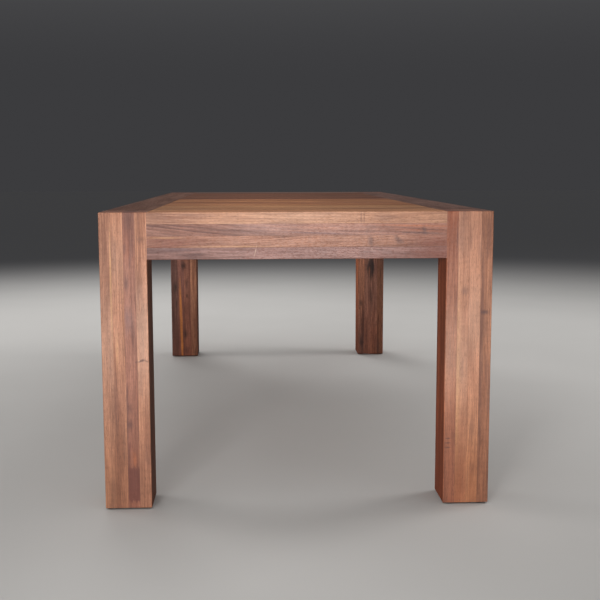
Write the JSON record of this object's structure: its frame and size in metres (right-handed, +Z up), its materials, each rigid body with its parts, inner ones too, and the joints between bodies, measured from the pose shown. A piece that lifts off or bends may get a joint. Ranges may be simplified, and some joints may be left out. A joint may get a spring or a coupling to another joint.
{
  "type": "parsons dining table",
  "caption": "Parsons dining table with laminated square legs and rails flush on their faces and top, an inset field of crosswise boards, and levelling feet sunk in the leg ends.",
  "frame": {"origin": "on the floor under the middle of the table", "axes": "+Z up, +Y along the length from the pictured end to the far end, +X to the right across the width"},
  "size_m": [0.99, 2.286, 0.762],
  "materials": {
    "leg_walnut": "hand-rubbed oil, satin",
    "rail_walnut": "hand-rubbed oil, satin",
    "light_field_walnut": "hand-rubbed oil, satin",
    "dark_field_walnut": "hand-rubbed oil, satin",
    "under_walnut": "planed, thin oil, matt",
    "tenon_beech": "planed, bare",
    "zinc_screws": "bright zinc plate",
    "insert_brass": "plain turned",
    "foot_nylon": "matt black moulding"
  },
  "bodies": {
    "table": {"back_ledger": "under_walnut", "back_left_ledger": "under_walnut", "back_left_leg_stave_1": "leg_walnut", "back_left_leg_stave_2": "leg_walnut", "back_left_leg_stave_3": "leg_walnut", "back_left_leg_stave_4": "leg_walnut", "back_panel_board_1": "dark_field_walnut", "back_panel_board_2": "dark_field_walnut", "back_panel_board_3": "dark_field_walnut", "back_panel_board_4": "dark_field_walnut", "back_panel_board_5": "dark_field_walnut", "back_panel_board_6": "dark_field_walnut", "back_rail_layer_1": "rail_walnut", "back_rail_layer_2": "rail_walnut", "back_rail_layer_3": "rail_walnut", "back_rail_layer_4": "rail_walnut", "back_right_ledger": "under_walnut", "back_right_leg_stave_1": "leg_walnut", "back_right_leg_stave_2": "leg_walnut", "back_right_leg_stave_3": "leg_walnut", "back_right_leg_stave_4": "leg_walnut", "centre_bearer": "under_walnut", "end_ledger_screws": "zinc_screws", "field_screws": "zinc_screws", "front_ledger": "under_walnut", "front_left_ledger": "under_walnut", "front_left_leg_stave_1": "leg_walnut", "front_left_leg_stave_2": "leg_walnut", "front_left_leg_stave_3": "leg_walnut", "front_left_leg_stave_4": "leg_walnut", "front_panel_board_1": "light_field_walnut", "front_panel_board_2": "light_field_walnut", "front_panel_board_3": "light_field_walnut", "front_panel_board_4": "light_field_walnut", "front_panel_board_5": "light_field_walnut", "front_panel_board_6": "light_field_walnut", "front_rail_layer_1": "rail_walnut", "front_rail_layer_2": "rail_walnut", "front_rail_layer_3": "rail_walnut", "front_rail_layer_4": "rail_walnut", "front_right_ledger": "under_walnut", "front_right_leg_stave_1": "leg_walnut", "front_right_leg_stave_2": "leg_walnut", "front_right_leg_stave_3": "leg_walnut", "front_right_leg_stave_4": "leg_walnut", "left_rail_layer_1": "rail_walnut", "left_rail_layer_2": "rail_walnut", "left_rail_layer_3": "rail_walnut", "left_rail_layer_4": "rail_walnut", "loose_tenons": "tenon_beech", "right_rail_layer_1": "rail_walnut", "right_rail_layer_2": "rail_walnut", "right_rail_layer_3": "rail_walnut", "right_rail_layer_4": "rail_walnut", "side_ledger_screws": "zinc_screws", "threaded_inserts": "insert_brass"},
    "back_left_foot": {"back_left_foot": "foot_nylon"},
    "back_right_foot": {"back_right_foot": "foot_nylon"},
    "front_left_foot": {"front_left_foot": "foot_nylon"},
    "front_right_foot": {"front_right_foot": "foot_nylon"}
  },
  "joints": [
    {"name": "back_left_foot_levelling", "type": "slide", "parent": "table", "child": "back_left_foot", "axis": [0, 0, -1], "range_m": [0, 0.012]},
    {"name": "back_right_foot_levelling", "type": "slide", "parent": "table", "child": "back_right_foot", "axis": [0, 0, -1], "range_m": [0, 0.012]},
    {"name": "front_left_foot_levelling", "type": "slide", "parent": "table", "child": "front_left_foot", "axis": [0, 0, -1], "range_m": [0, 0.012]},
    {"name": "front_right_foot_levelling", "type": "slide", "parent": "table", "child": "front_right_foot", "axis": [0, 0, -1], "range_m": [0, 0.012]}
  ]
}
